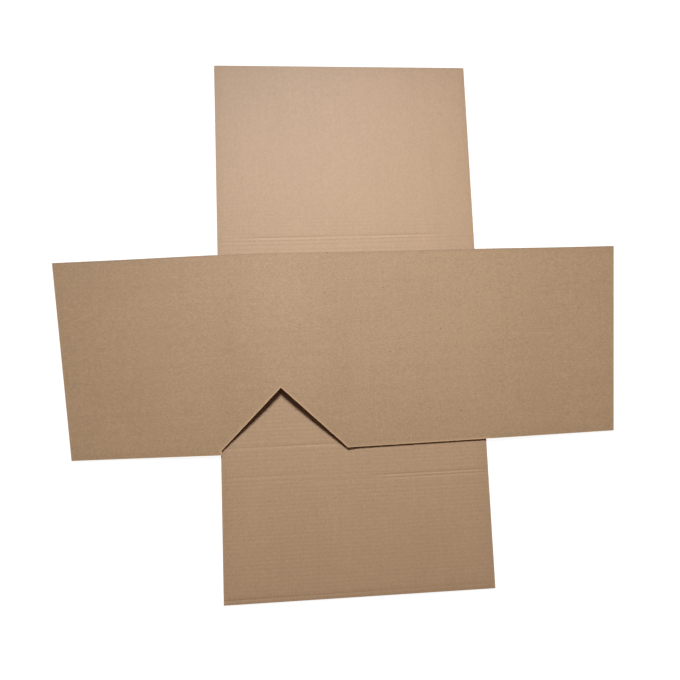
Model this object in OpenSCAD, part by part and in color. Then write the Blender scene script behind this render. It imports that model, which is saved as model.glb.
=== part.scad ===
// Flattened cardboard box: a cross-shaped wrap of two sheets of corrugated board.
// A base strip lies on the table, and a band is glued across it. All sizes are in millimetres.
// The origin is the middle of the strip's underside. X runs along the band, Y along the strip, Z is up.

/* [Board] */
// Thickness of the corrugated board
board_t = 1.6; // [1.4:0.1:2.2]
// Thickness of each flat liner
liner_t = 0.2; // [0.15:0.01:0.25]
// Thickness of the fluted paper between the liners
medium_t = 0.2; // [0.15:0.01:0.25]
// Distance from one flute to the next
flute_pitch = 3.25; // [2.8:0.05:4]
// Width of the glued tip of a flute
flute_tip = 0.25; // [0.2:0.01:0.4]
// Solid margin between the last flute and an edge that runs along the flutes
edge_margin = 0.5; // [0.3:0.1:1.5]

/* [Base strip] */
// Width of the strip, along X
strip_w = 217; // [190:1:240]
// Length of the strip, along Y
strip_len = 443; // [400:1:480]
// Widest part of a pressed score line
score_w = 2.2; // [1.5:0.1:3]
// Width of the floor of a pressed score line
score_floor = 0.7; // [0.3:0.1:1.2]
// Depth of a pressed score line
score_depth = 0.4; // [0.2:0.1:0.8]
// Height of the first score line above the strip's middle
upper_score = 66.3; // [60:0.1:80]
// Distance from the middle down to the score line at the notch
lower_score = 100.7; // [95:0.1:110]
// Distance from there down to the next score line
lower_gap = 24; // [15:0.1:40]
// Distance between the two lines of a double score
score_pair = 6; // [4:0.1:10]

/* [Cross band] */
// Distance of the band's centre line below the strip's middle
band_drop = 23.2; // [10:0.1:30]
// Angle at which the band is glued askew
band_skew = 0.8; // [0:0.1:2]
// Height of the band at its right fold
band_h = 160; // [150:0.5:170]
// How much higher the band is at its left fold
left_swell = 2.5; // [0:0.5:5]
// How much lower the end of the left arm is
left_taper = 2; // [0:0.5:6]
// How much lower the end of the right arm is
right_taper = 1.3; // [0:0.1:6]
// Length of the left arm beyond its fold, on the centre line
left_arm = 123.2; // [90:0.1:150]
// Length of the right arm beyond its fold, on the centre line
right_arm = 116.5; // [90:0.1:150]
// Slant of the left end
left_slant = 5.1; // [0:0.1:10]
// Slant of the right end
right_slant = 5.8; // [0:0.1:10]
// How far each fold lies outside the strip's side
fold_margin = 0.6; // [0:0.1:2]
// Glue line between the strip and the band
glue_t = 0.1; // [0.05:0.05:0.3]
// Height by which the band stands off the strip at the notch's corner
lift_h = 5; // [0:0.1:10]
// Distance over which that lift dies out to the right of the corner
lift_run = 58; // [40:1:80]
// Share of the lift that is left at the band's upper edge
lift_top = 0.4; // [0:0.1:1]
// Length of each arm over which it comes down to the table
settle_run = 90; // [40:1:100]

/* [Notch] */
// Distance from the left fold to the notch's corner
notch_in = 48.8; // [35:0.1:70]
// Depth of the notch in the band's lower edge
notch_depth = 51; // [30:0.1:70]
// Angle at the notch's corner
notch_angle = 91.5; // [70:0.5:110]

/* [Hidden] */
kraft = "#b89b7c";
kraft_shade = "#ad8f6d";
// How far a cutting shape reaches past the face it cuts
cut_over = 1;
// Blunt corner at the tip of a slanted end
tip_blunt = 0.3;
// Run of an upright step in the band's outline
step_run = 0.01;
// Rounding of the crest and of the foot of the lift, as shares of its run and its height
crest_round = 0.25;
foot_round = 0.1;

scores = [upper_score, upper_score + score_pair, -lower_score, -lower_score - lower_gap,
    -lower_score - lower_gap - score_pair];

// One channel of the board between the fluted paper and a liner: a triangle in the board's section,
// listed anticlockwise. Even channels hang from the upper liner, odd ones stand on the lower liner.
function channel(i, start) =
    let (
        middle = start + (i + 1) * flute_pitch / 2,
        side = i % 2 == 0 ? 1 : -1,
        half = (flute_pitch - flute_tip) / 2,
        wide = board_t / 2 + side * (board_t / 2 - liner_t),
        tip = board_t / 2 - side * (board_t / 2 - liner_t - medium_t)
    )
    [[middle, tip], [middle + side * half, wide], [middle - side * half, wide]];

// All channels that fit between two edges of a sheet
function channels(start, end) =
    let (count = floor(2 * (end - start - 2 * edge_margin) / flute_pitch) - 1)
    let (slack = (end - start - (count + 1) * flute_pitch / 2) / 2)
    [for (i = [0:count - 1]) channel(i, start + slack)];

// A channel is pressed shut where a score line crosses it
function is_crushed(c) =
    len([for (s = scores) if (abs(c[0][0] - s) < (score_w + flute_pitch - flute_tip) / 2) s]) > 0;

module score_groove(s) {
    translate([s, board_t])
        polygon([[-score_w / 2, cut_over], [-score_w / 2, 0], [-score_floor / 2, -score_depth],
            [score_floor / 2, -score_depth], [score_w / 2, 0], [score_w / 2, cut_over]]);
}

// The strip's section along its length: liners, flutes and pressed scores
module strip_section() {
    difference() {
        translate([-strip_len / 2, 0]) square([strip_len, board_t]);
        for (c = channels(-strip_len / 2, strip_len / 2))
            if (!is_crushed(c)) polygon(c);
        for (s = scores) score_groove(s);
    }
}

module base_strip() {
    color(kraft)
        rotate([90, 0, 90])
            linear_extrude(strip_w, center = true) strip_section();
}

// The band is worked out in its own frame: u along it, v across it from its centre line
fold_u = strip_w / 2 + fold_margin;
settle_u = fold_u + settle_run;
left_fold_h = band_h + left_swell;
left_end_h = band_h - left_taper;
right_end_h = band_h - right_taper;
left_shift = left_end_h / 2 * tan(left_slant);
right_shift = right_end_h / 2 * tan(right_slant);
left_low = -fold_u - left_arm + left_shift;
right_low = fold_u + right_arm - right_shift;
left_tip = -fold_u - left_arm - left_shift;
right_tip = fold_u + right_arm + right_shift;

// The notch has its corner above the lower edge. Its left leg ends at the fold, with a step to the edge.
notch_flare = tan(notch_angle / 2);
notch_u = notch_in - fold_u;
function plain_low(u) = -(left_fold_h - left_swell * (u + fold_u) / (2 * fold_u)) / 2;
notch_v = plain_low(notch_u) + notch_depth;
notch_left = max(-fold_u + step_run, notch_u - notch_depth * notch_flare);
notch_left_v = notch_v - (notch_u - notch_left) / notch_flare;
notch_right = notch_u + notch_depth * notch_flare;

// Lower and upper edge of the band, with its slanted ends, as points [u, v]
low_edge = [
    [left_tip, left_end_h / 2], [left_low, -left_end_h / 2], [-fold_u, plain_low(-fold_u)],
    [notch_left, plain_low(notch_left)], [notch_left + step_run, notch_left_v], [notch_u, notch_v],
    [notch_right, plain_low(notch_right)], [fold_u, plain_low(fold_u)],
    [right_low, -right_end_h / 2], [right_tip, right_end_h / 2]
];
high_edge = [
    [left_tip, left_end_h / 2], [-fold_u, left_fold_h / 2],
    [fold_u, band_h / 2], [right_tip, right_end_h / 2]
];

// Share of the full height along the band: on the strip in the middle, on the table at the ends
function settled(u) = lookup(u, [[-settle_u, 0], [-fold_u, 1], [fold_u, 1], [settle_u, 0]]);

// Share of the lift along the band: slopes that fall from a rounded crest at the notch's corner to a
// rounded foot, at the left fold and to the right of the notch
function lifted(u) =
    let (
        run = u < notch_u ? notch_in : lift_run,
        far = norm([(u - notch_u) / run, crest_round]) - crest_round,
        fall = far / (norm([1, crest_round]) - crest_round)
    )
    (1 - fall + norm([1 - fall, foot_round])) / 2;

// Share of the lift across the band, from the notch's corner to the upper edge
function lift_share(v) = 1 - (1 - lift_top) * (v - notch_v) / (left_fold_h / 2 - notch_v);

// Height of the band's underside
function under_z(u, v) = settled(u) * (board_t + glue_t + lift_h * lifted(u) * lift_share(v));

// Stations along the band, about one to a flute, from corner to corner of its outline
function spread(a, b) =
    let (count = ceil((b - a) / flute_pitch))
    [for (k = [0:count - 1]) a + (b - a) * k / count];
bends = [left_low, -settle_u, -fold_u, notch_left, notch_left + step_run, notch_u, notch_right, fold_u,
    settle_u, right_low];
stations = concat(
    [left_tip + tip_blunt], [for (k = [1:len(bends) - 1]) each spread(bends[k - 1], bends[k])],
    [right_low, right_tip - tip_blunt]
);

// Points of the board's section along the band, as [u, height]: upper face, lower face, channels
cells = channels(left_tip, right_tip);
section = concat(
    [for (u = stations) [u, board_t]], [for (u = stations) [u, 0]], [for (c = cells, p = c) p]
);
upper_face = [for (k = [0:len(stations) - 1]) k];
lower_face = [for (k = upper_face) len(stations) + k];
function corner(i, k) = 2 * len(stations) + 3 * i + k;

// Paper under the upper liner and over the lower liner, as chains of channel corners from left to right
upper_chain = [for (i = [0:len(cells) - 1], k = i % 2 == 0 ? [2, 1] : [0]) corner(i, k)];
lower_chain = [for (i = [0:len(cells) - 1], k = i % 2 == 0 ? [0] : [1, 2]) corner(i, k)];

// Triangles that fill the section between two chains, upper one first
function stitch(a, b, i = 0, j = 0) =
    i == len(a) - 1 && j == len(b) - 1 ? [] :
    j == len(b) - 1 || (i < len(a) - 1 && section[a[i + 1]][0] < section[b[j + 1]][0])
        ? concat([[a[i], b[j], a[i + 1]]], stitch(a, b, i + 1, j))
        : concat([[a[i], b[j], b[j + 1]]], stitch(a, b, i, j + 1));

// The cut face of the board: two liners, the flutes between them and the closed ends
function last(list) = list[len(list) - 1];
function cut_face() = concat(
    stitch(upper_face, upper_chain), stitch(lower_chain, lower_face),
    [for (i = [0:len(cells) - 2])
        i % 2 == 0 ? [corner(i, 1), corner(i, 0), corner(i + 1, 1), corner(i + 1, 0)]
                   : [corner(i, 0), corner(i, 2), corner(i + 1, 0), corner(i + 1, 2)]],
    [[upper_face[0], lower_face[0], lower_chain[0], upper_chain[0]],
        [last(lower_face), last(upper_face), last(upper_chain), last(lower_chain)]]
);

function reversed(list) = [for (k = [len(list) - 1:-1:0]) list[k]];

// Face from the lower edge to the upper edge between two neighbouring points of the section
function ribbon(a, b) = [a, b, b + len(section), a + len(section)];

// The section carried across the band: cut faces at both long edges, the two liners, the two ends and
// the walls of the channels
module band_solid() {
    cut = cut_face();
    right_end = len(stations) - 1;
    polyhedron(
        [for (edge = [low_edge, high_edge], s = section)
            let (v = lookup(s[0], edge)) [s[0], v, under_z(s[0], v) + s[1]]],
        concat(
            [for (f = cut) reversed(f)],
            [for (f = cut) [for (k = f) k + len(section)]],
            [for (k = [1:right_end]) ribbon(upper_face[k], upper_face[k - 1])],
            [for (k = [1:right_end]) ribbon(lower_face[k - 1], lower_face[k])],
            [ribbon(upper_face[0], lower_face[0]), ribbon(lower_face[right_end], upper_face[right_end])],
            [for (i = [0:len(cells) - 1], k = [0:2]) ribbon(corner(i, (k + 1) % 3), corner(i, k))]
        )
    );
}

module cross_band() {
    color(kraft_shade) rotate(band_skew) translate([0, -band_drop, 0]) band_solid();
}

base_strip();
cross_band();
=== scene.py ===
# %% [markdown]
# A flattened wrap of corrugated board
#
# The object is two sheets of thin corrugated board, lying flat. A scored strip lies on the table, and
# a notched band is glued across it. Its charm is in small things: the papers' colour and grain, the
# faint washboard of the flutes, the pressed lines, and the shadow under the band at its notch.
# The construction is loaded first, because every piece takes its size and place from it.

# %% Load the construction
import math

import bpy
import numpy as np
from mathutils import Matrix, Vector, noise


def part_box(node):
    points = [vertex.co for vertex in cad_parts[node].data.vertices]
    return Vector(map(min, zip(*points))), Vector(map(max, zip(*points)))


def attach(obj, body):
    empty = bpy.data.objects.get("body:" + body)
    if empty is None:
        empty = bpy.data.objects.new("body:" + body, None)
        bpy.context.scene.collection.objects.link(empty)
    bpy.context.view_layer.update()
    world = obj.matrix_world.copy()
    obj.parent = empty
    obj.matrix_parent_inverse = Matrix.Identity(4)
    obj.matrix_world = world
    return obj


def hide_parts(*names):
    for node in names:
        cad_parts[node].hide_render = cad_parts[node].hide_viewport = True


MM = 0.001
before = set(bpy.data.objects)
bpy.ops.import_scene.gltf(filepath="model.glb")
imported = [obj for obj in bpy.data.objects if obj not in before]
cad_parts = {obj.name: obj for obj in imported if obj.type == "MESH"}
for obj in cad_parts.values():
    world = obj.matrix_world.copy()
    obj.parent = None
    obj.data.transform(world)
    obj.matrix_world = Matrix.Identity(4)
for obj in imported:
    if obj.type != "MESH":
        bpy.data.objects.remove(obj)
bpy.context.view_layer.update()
strip_low, strip_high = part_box("base_strip")
band_low, band_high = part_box("cross_band")
print("strip", strip_high - strip_low, "band", band_high - band_low)

# %% [markdown]
# The board
#
# Corrugated board is three papers: two flat liners, and a fluted paper between them. One slab would be
# quicker to model, but its cut edges would look like wood. So each sheet is modelled as these three
# papers, and its edges show open flutes as the real ones do.

# %% Sizes of the board
BOARD_T = strip_high.z - strip_low.z
LINER_T = 0.2 * MM
MEDIUM_T = 0.2 * MM
FLUTE_PITCH = 3.25 * MM
FLUTE_SWING = (BOARD_T - 2 * LINER_T - MEDIUM_T) / 2
print("board thickness", BOARD_T / MM, "mm, flute swing", FLUTE_SWING / MM, "mm")


def flute_wave(across):
    """The wave across the flutes, from 1 under the upper liner to -1 over the lower one."""
    return np.cos(2 * math.pi * across / FLUTE_PITCH)


# %% [markdown]
# A sheet of paper
#
# A sheet starts as a flat grid. It is then trimmed by straight cuts, as a die trims the real blank, and
# the grid's points are lifted to the height that the paper has there. Bisect makes the cuts. It works
# on the selected faces and can drop what lies on one side of the line, or keep both sides, which gives
# the extra lines that the rim needs inside each edge.


# %% Start a grid and move its points
def new_sheet(name, low, high, columns, rows):
    """A flat grid between two corners."""
    bpy.ops.object.select_all(action="DESELECT")
    bpy.ops.mesh.primitive_grid_add(x_subdivisions=columns, y_subdivisions=rows, size=1)
    sheet = bpy.context.object
    sheet.name = name
    sheet.scale = (high[0] - low[0], high[1] - low[1], 1)
    sheet.location = ((low[0] + high[0]) / 2, (low[1] + high[1]) / 2, 0)
    bpy.ops.object.transform_apply(location=True, rotation=True, scale=True)
    return sheet


def points_of(sheet):
    """The places of a sheet's points, one row each."""
    flat = np.empty(len(sheet.data.vertices) * 3)
    sheet.data.vertices.foreach_get("co", flat)
    return flat.reshape(-1, 3)


def lift(sheet, heights):
    """Gives each point of a sheet its height."""
    points = points_of(sheet)
    points[:, 2] = heights
    sheet.data.vertices.foreach_set("co", points.ravel())
    sheet.data.update()


# %% Select faces and cut along a line
CUT_SNAP = 0.001 * MM
bpy.context.tool_settings.mesh_select_mode = (False, False, True)


def face_centres(sheet):
    """The middle of each face of a sheet."""
    flat = np.empty(len(sheet.data.polygons) * 3)
    sheet.data.polygons.foreach_get("center", flat)
    return flat.reshape(-1, 3)


def select_faces(sheet, chosen):
    """Selects the faces of a sheet that a list of true and false chooses, and nothing else."""
    bpy.ops.object.select_all(action="DESELECT")
    bpy.context.view_layer.objects.active = sheet
    sheet.select_set(True)
    sheet.data.vertices.foreach_set("select", np.zeros(len(sheet.data.vertices), bool))
    sheet.data.edges.foreach_set("select", np.zeros(len(sheet.data.edges), bool))
    sheet.data.polygons.foreach_set("select", chosen)


def cut(sheet, start, end, drop=False, near=None):
    """Cuts a sheet along the line from start to end, and can drop what lies to the right of it."""
    centres = face_centres(sheet)
    select_faces(sheet, np.ones(len(centres), bool) if near is None else near(centres))
    normal = np.array([end[1] - start[1], start[0] - end[0], 0])
    normal /= np.linalg.norm(normal)
    bpy.ops.object.mode_set(mode="EDIT")
    bpy.ops.mesh.bisect(plane_co=(start[0], start[1], 0), plane_no=normal, clear_outer=drop,
                        threshold=CUT_SNAP)
    bpy.ops.object.mode_set(mode="OBJECT")


# %% Trim a sheet to an outline
def inset_line(start, end, distance):
    """The line from start to end, moved to its left by a distance."""
    start, end = np.array(start), np.array(end)
    along = (end - start) / np.linalg.norm(end - start)
    across = np.array([-along[1], along[0]]) * distance
    return start + across, end + across


def trim(sheet, corners, rim_cuts):
    """Trims a sheet to a convex outline, listed anticlockwise, with lines for a rim inside each edge."""
    for start, end in zip(corners, corners[1:] + corners[:1]):
        cut(sheet, start, end, drop=True)
        for distance in rim_cuts:
            cut(sheet, *inset_line(start, end, distance))


# %% [markdown]
# Rims
#
# The die crushes the board a little along each cut and bares pale fibres. Near the edges the paper is also
# darker, partly from handling soil and partly as painted shade, and the band's upper edges get a thin dark
# line of painted shade.
# How near a point lies to a cut edge gives the rim its shape. It is also kept as attributes for the rim's
# colour, because a pattern on coordinates alone can't tell where the edges are.


# %% Measure the rim
def near_edges(sheet, outline, shares, reach):
    """The share that each edge of an outline has, at the edge itself, fading inward over a reach."""
    points = points_of(sheet)[:, :2]
    near = np.zeros(len(points))
    for start, end, share in zip(outline, outline[1:] + outline[:1], shares):
        start, along = np.array(start), np.array(end) - np.array(start)
        t = np.clip((points - start) @ along / (along @ along), 0, 1)
        distance = np.linalg.norm(points - start - t[:, None] * along, axis=1)
        here = share * np.exp(-distance / reach)
        near = np.where(np.abs(here) > np.abs(near), here, near)
    return near


def keep_values(sheet, name, values):
    """Keeps a value for each point of a sheet, as an attribute that its material reads."""
    attribute = sheet.data.attributes.new(name, "FLOAT", "POINT")
    attribute.data.foreach_set("value", values.astype(np.float32))


# %% Shape the upper liner and the fluted paper
RIM_CRUSH = 0.25 * MM
CRUSH_REACH = 2 * MM
# How far the pale rim reaches, and the thin dark line of painted shade along the band's upper edges.
CREAM_AND_SHADE_LINE_REACH = 0.7 * MM
# How far the darkening near the edges reaches, which is partly soil and partly painted shade.
SOIL_AND_SHADE_REACH = 5 * MM


def shape_upper(upper, heights, outline, rim):
    """Lifts the upper liner, less its crushed rim, and keeps where its rim is pale, soiled and painted with
    shade.
    """
    lift(upper, heights - RIM_CRUSH * near_edges(upper, outline, rim["crushed"], CRUSH_REACH))
    keep_values(upper, "cream_and_shade_line", near_edges(upper, outline, rim["cream_and_shade_line"], CREAM_AND_SHADE_LINE_REACH))
    keep_values(upper, "soil_and_shade", near_edges(upper, outline, rim["soil_and_shade"], SOIL_AND_SHADE_REACH))


def shape_medium(medium, rest, pressed, across, outline, rim):
    """Gives the fluted paper its wave, which is lower where the board is crushed or pressed."""
    crush = RIM_CRUSH * near_edges(medium, outline, rim["crushed"], CRUSH_REACH) + pressed
    swing = FLUTE_SWING - crush / 2
    lift(medium, rest + BOARD_T / 2 - crush / 2 + swing * flute_wave(across))


# %% [markdown]
# Thickness and joining
#
# Solidify gives each paper its thickness, with the cut edges in a material of their own. The upper liner
# grows down from its face, the lower one up from the underside, and the fluted paper to both sides. The
# three papers are then joined, because a board is handled as one thing.

# %% Thicken the papers and join them
FACE, CUT_EDGE, MEDIUM = 0, 1, 2
DOWN, BOTH, UP = -1, 0, 1
SMOOTH_ANGLE = math.radians(40)


def thicken(sheet, thickness, side, face_material):
    """Gives a paper its thickness. Its cut edges take the cut-edge material."""
    for polygon in sheet.data.polygons:
        polygon.material_index = face_material
    solidify = sheet.modifiers.new("thickness", "SOLIDIFY")
    solidify.thickness = thickness
    solidify.offset = side
    solidify.material_offset_rim = CUT_EDGE - face_material
    bpy.context.view_layer.objects.active = sheet
    bpy.ops.object.modifier_apply(modifier=solidify.name)


def join_board(name, papers, materials):
    """Thickens the three papers of a board and joins them into one piece with its materials."""
    upper, medium, lower = papers
    thicken(upper, LINER_T, DOWN, FACE)
    thicken(medium, MEDIUM_T, BOTH, MEDIUM)
    thicken(lower, LINER_T, UP, FACE)
    bpy.ops.object.select_all(action="DESELECT")
    for paper in papers:
        paper.data.materials.clear()
        for material in materials:
            paper.data.materials.append(material)
        paper.select_set(True)
    bpy.context.view_layer.objects.active = upper
    bpy.ops.object.join()
    board = bpy.context.object
    board.name = name
    board.data.name = name
    bpy.ops.object.shade_smooth_by_angle(angle=SMOOTH_ANGLE)
    print(name, len(board.data.vertices), "points", len(board.data.polygons), "faces")
    return board


# %% [markdown]
# Paper
#
# Kraft paper is brown and matt. Its tone drifts in soft clouds, and a fine mottle of pale and dark fibres
# covers it, with streaks along the paper's run, weaker ones across it, and a few dark specks. Two sizes of
# noise make the mottle, because one alone looks like printed spots. All of it is procedural, on the
# piece's own coordinates, turned so that x runs along the paper's run.


# %% Node helpers
def node(tree, kind, inputs=None, **settings):
    """Adds a node, with its settings, its values and its links."""
    made = tree.nodes.new(kind)
    for key, value in settings.items():
        setattr(made, key, value)
    for key, value in (inputs or {}).items():
        if isinstance(value, bpy.types.NodeSocket):
            tree.links.new(value, made.inputs[key])
        else:
            made.inputs[key].default_value = value
    return made


def combine(tree, operation, first, second):
    """What a Math node makes of two values."""
    return node(tree, "ShaderNodeMath", {0: first, 1: second}, operation=operation).outputs[0]


# %% Tone and grain of a paper
PAPER_ROUGHNESS = 0.65
GRAIN_ROUGHNESS = 0.55


def new_material(name):
    """A node material with a rough matt shader, which is returned with its tree."""
    material = bpy.data.materials.new(name)
    material.use_nodes = True
    tree = material.node_tree
    shader = tree.nodes["Principled BSDF"]
    shader.inputs["Roughness"].default_value = PAPER_ROUGHNESS
    return material, tree, shader


def paper_noise(tree, run, pattern):
    """Noise in a pattern: its changes a metre along the paper's run and across it, and its detail."""
    along, across, detail = pattern
    stretched = node(tree, "ShaderNodeMapping", {"Vector": run, "Scale": (along, across, across)})
    grain = node(tree, "ShaderNodeTexNoise", {"Vector": stretched.outputs["Vector"], "Scale": 1.0,
                                              "Detail": detail, "Roughness": GRAIN_ROUGHNESS})
    return grain.outputs["Fac"]


def add_tone(tree, tone, value, strength):
    """Adds a value, which varies about a half, to a tone."""
    centred = combine(tree, "ADD", value, -0.5)
    added = node(tree, "ShaderNodeMath", {0: centred, 1: strength, 2: tone}, operation="MULTIPLY_ADD")
    return added.outputs[0]


def tinted(tree, colour, tone):
    """A colour made darker or lighter by a tone about 1."""
    scaled = node(tree, "ShaderNodeVectorMath", {0: colour, "Scale": tone}, operation="SCALE")
    return scaled.outputs["Vector"]


# %% Kraft liner
# A pattern has its changes a metre along the paper's run, those across it, and its levels of detail.
CLOUDS = (14, 20, 2)
STREAKS = (9, 320, 2)
CROSS_STREAKS = (320, 9, 2)
FLOCKS = (190, 250, 1)
FIBRES = (580, 840, 2)
CLOUD_TONE = 0.08
FLOCK_SHARE = 0.12
SPECKS = 90
SPECK_SIZE = 0.7 * MM
SPECK_DARK = 1.2
# How pale bared fibres are; a negative share of it darkens the paper instead, as a line of painted shade.
CREAM_AND_SHADE_LINE_TONE = 1.75
FIBRE_BUMP = 0.25
FIBRE_HEIGHT = 0.05 * MM


def specks(tree, run, dark):
    """How much darker the paper is in its specks. There is one in each cell of a cell texture."""
    distance = node(tree, "ShaderNodeTexVoronoi", {"Vector": run, "Scale": SPECKS}).outputs["Distance"]
    fade = {"Value": distance, "From Min": SPECK_SIZE * SPECKS, "From Max": 0, "To Max": dark}
    return node(tree, "ShaderNodeMapRange", fade).outputs["Result"]


def kraft_liner(name, colour, sheen, run_turn, mottle, streaks, cross_streaks):
    """The face of a board: kraft paper whose run is turned from x by an angle."""
    material, tree, shader = new_material(name)
    place = node(tree, "ShaderNodeTexCoord").outputs["Object"]
    turned = node(tree, "ShaderNodeMapping", {"Vector": place, "Rotation": (0, 0, run_turn)})
    run = turned.outputs["Vector"]
    fibres = paper_noise(tree, run, FIBRES)
    tone = add_tone(tree, 1.0, paper_noise(tree, run, CLOUDS), CLOUD_TONE)
    tone = add_tone(tree, tone, paper_noise(tree, run, STREAKS), streaks)
    tone = add_tone(tree, tone, paper_noise(tree, run, CROSS_STREAKS), cross_streaks)
    tone = add_tone(tree, tone, paper_noise(tree, run, FLOCKS), FLOCK_SHARE * mottle)
    tone = add_tone(tree, tone, fibres, mottle)
    tone = combine(tree, "SUBTRACT", tone, specks(tree, run, SPECK_DARK * mottle))
    # Near the edges the paper is darker, partly from soil and partly as painted shade.
    soil_and_shade = node(tree, "ShaderNodeAttribute", attribute_name="soil_and_shade").outputs["Fac"]
    paper = tinted(tree, colour, combine(tree, "SUBTRACT", tone, soil_and_shade))
    # Pale fibres at the cut edges; a negative share paints a dark line of shade along the band's upper
    # edges.
    cream_and_shade_line = node(tree, "ShaderNodeAttribute", attribute_name="cream_and_shade_line").outputs["Fac"]
    pale = [channel * CREAM_AND_SHADE_LINE_TONE for channel in colour]
    faced = node(tree, "ShaderNodeMix", {"Factor": cream_and_shade_line, "A": paper, "B": pale}, data_type="VECTOR",
                 clamp_factor=False)
    tree.links.new(faced.outputs["Result"], shader.inputs["Base Color"])
    shader.inputs["Specular IOR Level"].default_value = sheen
    bump = node(tree, "ShaderNodeBump", {"Height": fibres, "Strength": FIBRE_BUMP, "Distance": FIBRE_HEIGHT})
    tree.links.new(bump.outputs["Normal"], shader.inputs["Normal"])
    return material


# %% Cut edges and fluted paper
EDGE_FIBRES = (1500, 1500, 3)
MEDIUM_FIBRES = (900, 900, 3)
RAW_MOTTLE = 0.3


def raw_paper(name, colour, pattern):
    """The cut edge of a paper, or the coarse paper of the flutes: short fibres in every direction."""
    material, tree, shader = new_material(name)
    place = node(tree, "ShaderNodeTexCoord").outputs["Object"]
    tone = add_tone(tree, 1.0, paper_noise(tree, place, pattern), RAW_MOTTLE)
    tree.links.new(tinted(tree, colour, tone), shader.inputs["Base Color"])
    return material


# %% The four papers
STRIP_COLOUR = (0.382, 0.246, 0.139)
BAND_COLOUR = (0.360, 0.240, 0.138)
EDGE_COLOUR = (0.5, 0.37, 0.25)
MEDIUM_COLOUR = (0.36, 0.24, 0.15)
STRIP_SHEEN = 0.95
BAND_SHEEN = 0.54
ALONG_STRIP = math.pi / 2
BAND_SKEW = math.radians(0.8)
strip_paper = kraft_liner("strip_kraft", STRIP_COLOUR, STRIP_SHEEN, -ALONG_STRIP,
                          mottle=0.4, streaks=0.08, cross_streaks=0.03)
band_paper = kraft_liner("band_kraft", BAND_COLOUR, BAND_SHEEN, -BAND_SKEW,
                         mottle=0.62, streaks=0.10, cross_streaks=0.06)
cut_paper = raw_paper("cut_edge", EDGE_COLOUR, EDGE_FIBRES)
medium_paper = raw_paper("fluted_paper", MEDIUM_COLOUR, MEDIUM_FIBRES)
print("papers", [paper.name for paper in (strip_paper, band_paper, cut_paper, medium_paper)])

# %% [markdown]
# The base strip
#
# The strip's flutes run across it, so its long sides show open flutes. Lines are pressed across it, where
# it folds round what is packed: three above the band, one at the mouth of the notch, and below that a
# broken pair in four stretches. They lean by up to half a degree, and the lower end has been pressed once
# more, close to the cut. A pressed line is a shallow valley in the upper liner that comes and goes along
# its length. It could be drawn with a bump, but a real valley catches the light from every side. The
# liner also sags between the flutes, most just below the band, and hardly at all towards the upper end.

# %% Pressed lines of the strip
# Each line has its first x, its last x, its y at both (in mm), and its share of the depth. It fades out
# over some millimetres past its ends.
SCORES = (
    (-76, 72, 70.6, 71.9, 1.7),
    (-104, 104, 67.2, 68.9, 0.75),
    (-104, 104, 63.9, 65.7, 0.5),
    (-108, 108, -101.2, -100.2, 1.7),
    (-96, -37, -124.2, -123.7, 0.8),
    (-27, 12, -129.9, -129.5, 0.6),
    (22, 98, -127.2, -126.5, 2.5),
    (26, 98, -129.9, -129.2, 1.9),
)
SCORE_FADE = 14
SCORE_W = 0.8 * MM
SCORE_DEPTH = 0.09 * MM
SCORE_PATCHES = (16, 60)
# The press near the lower end, at the left side and at the right side.
END_PRESS = (3.2 * MM, 4.2 * MM)
END_DEPTH = (0.18 * MM, 0.07 * MM)


def patchy(x, y, rates, least, span):
    """A share that varies over a span in smooth patches, with so many changes a metre in x and y."""
    x_rate, y_rate = rates
    return least + span * np.array([0.5 + noise.noise((a * x_rate, b * y_rate, 0)) for a, b in zip(x, y)])


def valley(y, middle):
    """From 1 in the middle of a pressed line to 0 beside it."""
    return np.exp(-(((y - middle) / SCORE_W) ** 2))


def strip_press(points):
    """How deep the pressed lines are at points of the strip."""
    x, y = points[:, :2].T
    depth = np.zeros(len(points))
    for start, end, start_y, end_y, share in SCORES:
        there = np.interp(x / MM, (start - SCORE_FADE, start, end, end + SCORE_FADE), (0, 1, 1, 0))
        middle = MM * (start_y + (end_y - start_y) * (x / MM - start) / (end - start))
        depth += there * share * SCORE_DEPTH * valley(y, middle)
    depth *= patchy(x, y, SCORE_PATCHES, least=0.6, span=0.8)
    across = (x - strip_low.x) / (strip_high.x - strip_low.x)
    end_middle = strip_low.y + np.interp(across, (0, 1), END_PRESS)
    return depth + np.interp(across, (0, 1), END_DEPTH) * valley(y, end_middle)


# %% Washboard of the strip
# The sag between the flutes at places along the strip (y and sag, in mm).
SAG_ALONG = (
    (-221.5, 0.026), (-150, 0.030), (-110, 0.034), (60, 0.02),
    (90, 0.016), (130, 0.008), (170, 0.004),
)
SAG_PATCHES = (12, 90)


def strip_sag(points):
    """How far the strip's upper liner sags between the flutes."""
    x, y = points[:, :2].T
    stations, sags = zip(*SAG_ALONG)
    sag = np.interp(y / MM, stations, sags) * MM * patchy(x, y, SAG_PATCHES, least=0.7, span=0.6)
    return sag * (1 - flute_wave(y)) / 2


# %% Cut the strip's three papers
RIM_CUTS = (0.7 * MM, 1.6 * MM, 3.4 * MM, 7 * MM)
MEDIUM_RIM_CUTS = RIM_CUTS[:2]
STEPS_PER_FLUTE = 6
STRIP_COLUMNS = 24
strip_rows = round((strip_high.y - strip_low.y) / FLUTE_PITCH * STEPS_PER_FLUTE)
strip_corners = [
    (strip_low.x, strip_low.y), (strip_high.x, strip_low.y),
    (strip_high.x, strip_high.y), (strip_low.x, strip_high.y),
]


def cut_strip(name, columns, rows, rim_cuts):
    """A flat sheet with the strip's outline."""
    sheet = new_sheet(name, strip_low, strip_high, columns, rows)
    trim(sheet, strip_corners, rim_cuts)
    return sheet


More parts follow.
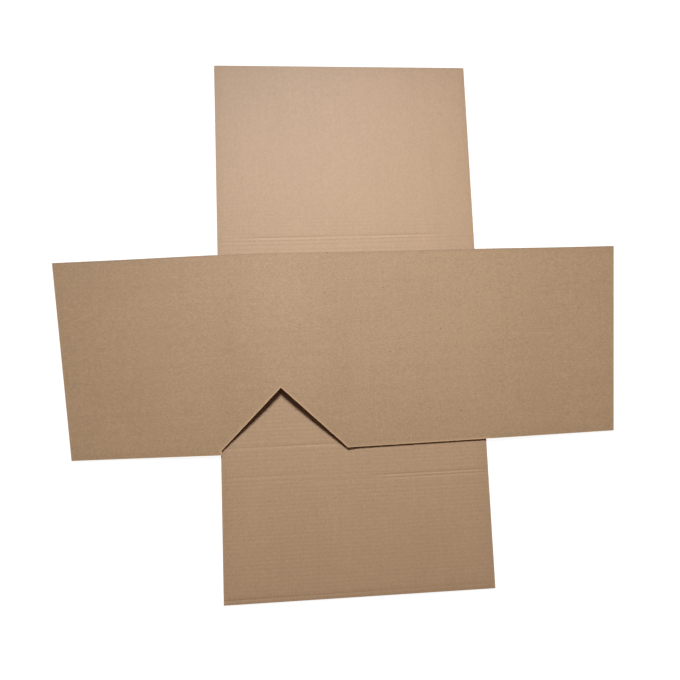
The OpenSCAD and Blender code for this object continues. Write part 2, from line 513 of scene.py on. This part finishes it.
strip_papers = [
    cut_strip("strip_upper", STRIP_COLUMNS, strip_rows, RIM_CUTS),
    cut_strip("strip_medium", 1, strip_rows, MEDIUM_RIM_CUTS),
    cut_strip("strip_lower", 1, 1, ()),
]
print("strip papers", [len(paper.data.polygons) for paper in strip_papers], "faces")

# %% Shape and join the strip
# The shares are those of the lower end, the right side, the upper end and the left side.
STRIP_RIM = {
    "crushed": (1, 1, 0, 1),
    "cream_and_shade_line": (0.25, 0.25, 0, 0.25),
    # The soil shares darken the paper near each edge, partly as soil and partly as painted shade.
    "soil_and_shade": (0.11, 0.08, 0.06, 0.08),
}
upper, medium, lower = strip_papers
places = points_of(upper)
shape_upper(upper, BOARD_T - strip_sag(places) - strip_press(places), strip_corners, STRIP_RIM)
places = points_of(medium)
shape_medium(medium, rest=0, pressed=strip_press(places), across=places[:, 1],
             outline=strip_corners, rim=STRIP_RIM)
strip = join_board("base_strip_board", strip_papers, (strip_paper, cut_paper, medium_paper))

# %% [markdown]
# The cross band
#
# The band's flutes are upright, so it bends easily along its length. It lies on the strip, but round the
# notch it has sprung up by a few millimetres, which is what throws the shadow there. Beyond the strip's
# sides its two arms come down to the table. It is cut flat in its own frame, along it and across it from
# its centre line, then lifted, and turned by its small skew at the end, because straight cuts and upright
# flutes are simplest there.

# %% Outline of the band
BAND_DROP = 23.2 * MM
FOLD_MARGIN = 0.6 * MM
LEFT_ARM, RIGHT_ARM = 123.2 * MM, 116.5 * MM
LEFT_SLANT, RIGHT_SLANT = math.radians(5.1), math.radians(5.8)
LEFT_FOLD_H, RIGHT_FOLD_H = 162.5 * MM, 160 * MM
LEFT_END_H, RIGHT_END_H = 158 * MM, 158.7 * MM
fold_u = strip_high.x + FOLD_MARGIN
left_u, right_u = -fold_u - LEFT_ARM, fold_u + RIGHT_ARM
left_lean = LEFT_END_H / 2 * math.tan(LEFT_SLANT)
right_lean = RIGHT_END_H / 2 * math.tan(RIGHT_SLANT)
band_corners = [
    (left_u + left_lean, -LEFT_END_H / 2), (-fold_u, -LEFT_FOLD_H / 2), (fold_u, -RIGHT_FOLD_H / 2),
    (right_u - right_lean, -RIGHT_END_H / 2), (right_u + right_lean, RIGHT_END_H / 2),
    (fold_u, RIGHT_FOLD_H / 2), (-fold_u, LEFT_FOLD_H / 2), (left_u - left_lean, LEFT_END_H / 2),
]
print("band", [tuple(round(c / MM, 1) for c in corner) for corner in band_corners])

# %% Outline of the notch
NOTCH_DEPTH = 51 * MM
NOTCH_IN = 48.8 * MM
NOTCH_ANGLE = math.radians(91.5)
NOTCH_FLARE = math.tan(NOTCH_ANGLE / 2)
notch_u = NOTCH_IN - fold_u
band_h_at_notch = LEFT_FOLD_H + (RIGHT_FOLD_H - LEFT_FOLD_H) * NOTCH_IN / (2 * fold_u)
notch_v = NOTCH_DEPTH - band_h_at_notch / 2
notch_top = (notch_u, notch_v)
notch_left = (-fold_u, notch_v - NOTCH_IN / NOTCH_FLARE)
notch_right = (notch_u + NOTCH_DEPTH * NOTCH_FLARE, notch_v - NOTCH_DEPTH)
band_outline = band_corners[:2] + [notch_left, notch_top, notch_right] + band_corners[2:]
print("notch", [tuple(round(c / MM, 1) for c in corner) for corner in (notch_left, notch_top, notch_right)])

# %% Cut a sheet to the band's outline
NOTCH_ROOM = 4 * MM


def by_notch(centres):
    """Chooses the faces round the notch."""
    u, v = centres[:, 0], centres[:, 1]
    return (u > -fold_u - NOTCH_ROOM) & (u < notch_right[0] + NOTCH_ROOM) & (v < notch_v + NOTCH_ROOM)


def in_notch(centres):
    """Chooses the faces inside the notch."""
    u, v = centres[:, 0], centres[:, 1]
    return (u > -fold_u) & (v < notch_v - np.abs(u - notch_u) / NOTCH_FLARE)


def cut_band(name, columns, rows, rim_cuts):
    """A flat sheet with the band's outline."""
    widest = max(LEFT_FOLD_H, RIGHT_FOLD_H) / 2
    low, high = (left_u - left_lean, -widest), (right_u + right_lean, widest)
    sheet = new_sheet(name, low, high, columns, rows)
    trim(sheet, band_corners, rim_cuts)
    for start, end in ((notch_left, notch_top), (notch_top, notch_right)):
        cut(sheet, start, end, near=by_notch)
        for distance in rim_cuts:
            cut(sheet, *inset_line(start, end, distance), near=by_notch)
    cut(sheet, (-fold_u, -widest), (-fold_u, widest), near=by_notch)
    select_faces(sheet, in_notch(face_centres(sheet)))
    bpy.ops.object.mode_set(mode="EDIT")
    bpy.ops.mesh.delete(type="FACE")
    bpy.ops.object.mode_set(mode="OBJECT")
    return sheet


# %% Cut the band's three papers
UPPER_ROWS = 14
INNER_ROWS = 12
band_flutes = (right_u + right_lean - left_u + left_lean) / FLUTE_PITCH
band_columns = round(STEPS_PER_FLUTE * band_flutes)
band_papers = [
    cut_band("band_upper", band_columns, UPPER_ROWS, RIM_CUTS),
    cut_band("band_medium", band_columns, INNER_ROWS, MEDIUM_RIM_CUTS),
    cut_band("band_lower", round(band_flutes), INNER_ROWS, ()),
]
print("band papers", [len(paper.data.polygons) for paper in band_papers], "faces")

# %% Heights of the band
GLUE_T = 0.1 * MM
LIFT_H = 5.0 * MM
LIFT_RUN = 58 * MM
LIFT_TOP = 0.4
CREST_ROUND = 0.25
FOOT_ROUND = 0.1
SETTLE_RUN = 90 * MM
BAND_SAG = 0.008 * MM


def settled(u):
    """From 1 on the strip to 0 where an arm lies on the table."""
    t = np.clip((np.abs(u) - fold_u) / SETTLE_RUN, 0, 1)
    return 1 - t * t * (3 - 2 * t)


def lifted(u):
    """The lift along the band: it falls from a rounded crest at the notch's corner to a rounded foot."""
    run = np.where(u < notch_u, NOTCH_IN, LIFT_RUN)
    far = np.hypot((u - notch_u) / run, CREST_ROUND) - CREST_ROUND
    left = 1 - far / (math.hypot(1, CREST_ROUND) - CREST_ROUND)
    return (left + np.hypot(left, FOOT_ROUND)) / 2


def band_rest(points):
    """The height of the band's underside at points of the band."""
    u, v = points[:, :2].T
    share = 1 - (1 - LIFT_TOP) * (v - notch_v) / (LEFT_FOLD_H / 2 - notch_v)
    return settled(u) * (BOARD_T + GLUE_T + LIFT_H * lifted(u) * share)


def band_sag(points):
    """How far the band's upper liner sags between the flutes."""
    return BAND_SAG * (1 - flute_wave(points[:, 0])) / 2


# %% Shape and join the band
# The shares go round the outline: from the left arm's lower edge by the notch to the right end, then back.
BAND_RIM = {
    "crushed": (1, 1, 1, 1, 1, 1, 1, 0, 0, 0, 1),
    # The negative cream shares, on the upper edges, paint a thin dark line of shade there.
    "cream_and_shade_line": (0.4, 1.0, 1.0, 1.0, 1.2, 0.3, 0.3, -0.2, -0.2, -0.2, 0.3),
    # The soil shares darken the paper near each edge, partly as soil and partly as painted shade, most along
    # the lower edges.
    "soil_and_shade": (0.04, 0.03, 0.03, 0.03, 0.04, 0.04, 0, 0.02, 0.02, 0.02, 0),
}
upper, medium, lower = band_papers
places = points_of(upper)
shape_upper(upper, band_rest(places) + BOARD_T - band_sag(places), band_outline, BAND_RIM)
places = points_of(medium)
shape_medium(medium, rest=band_rest(places), pressed=0, across=places[:, 0],
             outline=band_outline, rim=BAND_RIM)
lift(lower, band_rest(points_of(lower)))
band = join_board("cross_band_board", band_papers, (band_paper, cut_paper, medium_paper))
band.rotation_euler.z = BAND_SKEW
band.location = (BAND_DROP * math.sin(BAND_SKEW), -BAND_DROP * math.cos(BAND_SKEW), 0)
bpy.ops.object.transform_apply(location=True, rotation=True, scale=True)

# %% [markdown]
# Pieces and frame
#
# Both boards stand for their solids, which stay for collision, and both ride on the one body.

# %% Tie the boards to the frame
for board, solid, slot in ((strip, "base_strip", "strip_board"), (band, "cross_band", "band_board")):
    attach(board, "root")
    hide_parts(solid)
    print(board.name, "stands for", solid)

# %% [markdown]
# The floor
#
# The floor is plain and white to the camera, and still takes a little of the object's shadow. A brightly
# lit floor would be white too, but it would wash out the object. So what shows of it is mostly a plain
# glow that only the camera and reflections see, while to all other light it is a matt white floor.


# %% What the camera and reflections see
def seen_share(tree):
    """1 for the rays that show the background, the camera's, glossy and transmitted ones, else 0."""
    path = node(tree, "ShaderNodeLightPath").outputs
    mirrored = combine(tree, "MAXIMUM", path["Is Glossy Ray"], path["Is Transmission Ray"])
    return combine(tree, "MAXIMUM", path["Is Camera Ray"], mirrored)


# %% Floor
FLOOR_SIZE = 6.0
FLOOR_DROP = 0.05 * MM
FLOOR_COLOUR = (0.85, 0.85, 0.85, 1)
FLOOR_GLOW = {"Color": (1, 1, 1, 1), "Strength": 1.25}
SHADOW_SHARE = 0.25
bpy.ops.object.select_all(action="DESELECT")
bpy.ops.mesh.primitive_plane_add(size=FLOOR_SIZE, location=(0, 0, -FLOOR_DROP))
floor = bpy.context.object
floor.name = "floor"
floor_material = bpy.data.materials.new("floor_white")
floor_material.use_nodes = True
tree = floor_material.node_tree
tree.nodes.remove(tree.nodes["Principled BSDF"])
matt = node(tree, "ShaderNodeBsdfDiffuse", {"Color": FLOOR_COLOUR}).outputs["BSDF"]
glow = node(tree, "ShaderNodeEmission", FLOOR_GLOW).outputs["Emission"]
white = node(tree, "ShaderNodeMixShader", {0: SHADOW_SHARE, 1: glow, 2: matt}).outputs["Shader"]
seen = node(tree, "ShaderNodeMixShader", {0: seen_share(tree), 1: matt, 2: white}).outputs["Shader"]
tree.links.new(seen, tree.nodes["Material Output"].inputs["Surface"])
floor.data.materials.append(floor_material)
print("floor", FLOOR_SIZE, "m across")

# %% [markdown]
# The light
#
# One soft lamp stands far behind the top of the picture, so shadows fall down the picture, and its beam
# fades towards the lower edge as the light in the picture does. The room gives a weak warm fill, which
# keeps the shadows brown. To the camera and to reflections its walls are white, but its ceiling is dark,
# because a white one would lay a pale veil over the paper and its shadows.

# %% World
FILL = (0.105, 0.063, 0.048, 1)
WALL_WHITE = (0.956, 0.952, 0.948, 1)
WALL_TOP, CEILING = 0.35, 0.6
world = bpy.data.worlds.new("studio")
bpy.context.scene.world = world
world.use_nodes = True
tree = world.node_tree
towards = node(tree, "ShaderNodeTexCoord").outputs["Generated"]
rise = node(tree, "ShaderNodeSeparateXYZ", {"Vector": towards}).outputs["Z"]
wall_fade = {"Value": rise, "From Min": CEILING, "From Max": WALL_TOP}
wall = node(tree, "ShaderNodeMapRange", wall_fade).outputs["Result"]
shown = combine(tree, "MULTIPLY", seen_share(tree), wall)
light = node(tree, "ShaderNodeMixRGB", {"Fac": shown, "Color1": FILL, "Color2": WALL_WHITE})
tree.links.new(light.outputs["Color"], tree.nodes["Background"].inputs["Color"])
print("world", world.name, "fill", FILL[:3])

# %% Lamp
LAMP_PLACE = Vector((-0.045, 0.63, 0.73))
LAMP_AIM = Vector((0.08, -0.48, 0))
LAMP_POWER = 58.5
LAMP_BEAM = math.radians(84)
LAMP_RADIUS = 0.13
lamp_data = bpy.data.lights.new("studio_lamp", "SPOT")
lamp_data.energy = LAMP_POWER
lamp_data.spot_size = LAMP_BEAM
lamp_data.spot_blend = 1.0
lamp_data.shadow_soft_size = LAMP_RADIUS
lamp = bpy.data.objects.new("studio_lamp", lamp_data)
bpy.context.collection.objects.link(lamp)
lamp.location = LAMP_PLACE
lamp.rotation_euler = (LAMP_AIM - LAMP_PLACE).to_track_quat("-Z", "Y").to_euler()
print("lamp", LAMP_POWER, "W,", (LAMP_AIM - LAMP_PLACE).length, "m from its aim")

# %% [markdown]
# The camera
#
# The camera looks almost straight down, a little askew, from half a metre up. Its place, turn and lens
# were fitted to the corners of the two sheets in the picture, which is surer than turning it by eye.

# %% Camera
CAMERA_PLACE = (-58.72 * MM, -74.14 * MM, 532.43 * MM)
CAMERA_TURN = (math.radians(6.385), math.radians(-5.017), math.radians(-2.188))
CAMERA_LENS = 34.41
SENSOR_WIDTH = 36
camera_data = bpy.data.cameras.new("camera")
camera_data.lens = CAMERA_LENS
camera_data.sensor_width = SENSOR_WIDTH
camera_data.clip_start = 0.01
camera = bpy.data.objects.new("camera", camera_data)
bpy.context.collection.objects.link(camera)
camera.location = CAMERA_PLACE
camera.rotation_euler = CAMERA_TURN
scene = bpy.context.scene
scene.camera = camera
scene.view_settings.view_transform = "Standard"
print("camera", CAMERA_PLACE, "lens", CAMERA_LENS, "mm")
